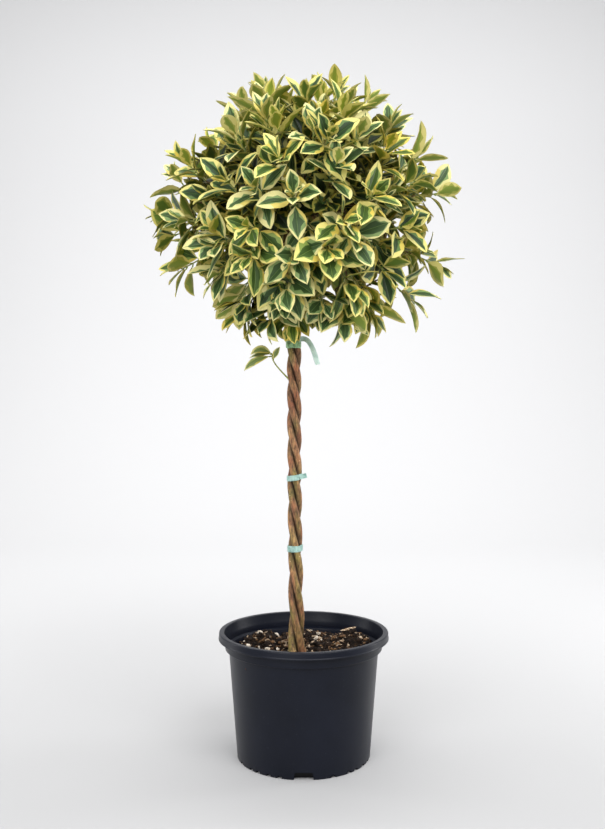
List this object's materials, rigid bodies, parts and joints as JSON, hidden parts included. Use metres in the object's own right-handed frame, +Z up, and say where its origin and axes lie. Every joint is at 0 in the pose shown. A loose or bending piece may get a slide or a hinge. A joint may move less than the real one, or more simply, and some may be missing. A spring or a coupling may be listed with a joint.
{
  "type": "standard lollipop topiary",
  "caption": "Evergreen shrub trained as a lollipop standard: a globe of variegated leaves on a bare twisted stem, growing in a round plastic nursery pot.",
  "frame": {"origin": "centre of the pot's flat underside, at the level the pot stands on", "axes": "+Z up along the pot's axis and the stem; -Y is the side the reference view looks at, with +X to its right"},
  "size_m": [0.4147, 0.3944, 0.889],
  "materials": {
    "pot": "satin",
    "soil": "matte",
    "bark": "matte",
    "foliage": "satin",
    "tie": "matte"
  },
  "bodies": {
    "root": {"pot": "pot", "soil": "soil", "stem_1": "bark", "stem_2": "bark", "stem_3": "bark", "tie_low": "tie", "tie_middle": "tie", "tie_top": "tie", "sprig": "foliage", "bough_top": "bark", "leaves_top": "foliage", "bough_upper_1": "bark", "leaves_upper_1": "foliage", "bough_upper_2": "bark", "leaves_upper_2": "foliage", "bough_upper_3": "bark", "leaves_upper_3": "foliage", "bough_upper_4": "bark", "leaves_upper_4": "foliage", "bough_lower_1": "bark", "leaves_lower_1": "foliage", "bough_lower_2": "bark", "leaves_lower_2": "foliage", "bough_lower_3": "bark", "leaves_lower_3": "foliage", "bough_lower_4": "bark", "leaves_lower_4": "foliage", "bough_lower_5": "bark", "leaves_lower_5": "foliage"}
  },
  "joints": []
}
